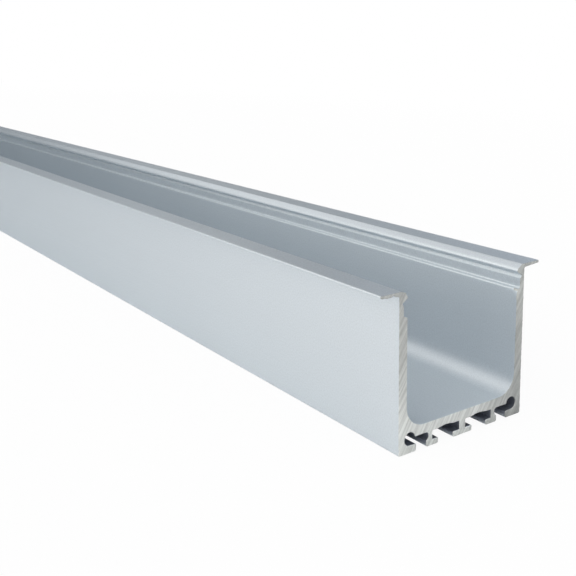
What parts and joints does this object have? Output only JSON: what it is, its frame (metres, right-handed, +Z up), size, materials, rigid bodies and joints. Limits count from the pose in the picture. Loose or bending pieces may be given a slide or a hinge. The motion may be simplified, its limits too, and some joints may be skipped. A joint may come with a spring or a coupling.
{
  "type": "recessed aluminium led profile",
  "caption": "Straight aluminium channel extrusion for LED strip: deep U section with cover lips, side flanges, T-slots and screw ports under the floor, sawn square at both ends.",
  "frame": {"origin": "centre of the profile's length and width, on the plane of the undersides of its feet", "axes": "+X along the profile, +Z up out of the channel's mouth, Y across the profile"},
  "size_m": [1, 0.038, 0.029],
  "materials": {
    "anodised_aluminium": "satin silver anodised along the sides, raw sawn ends"
  },
  "bodies": {
    "root": {"led_profile": "anodised_aluminium"}
  },
  "joints": []
}
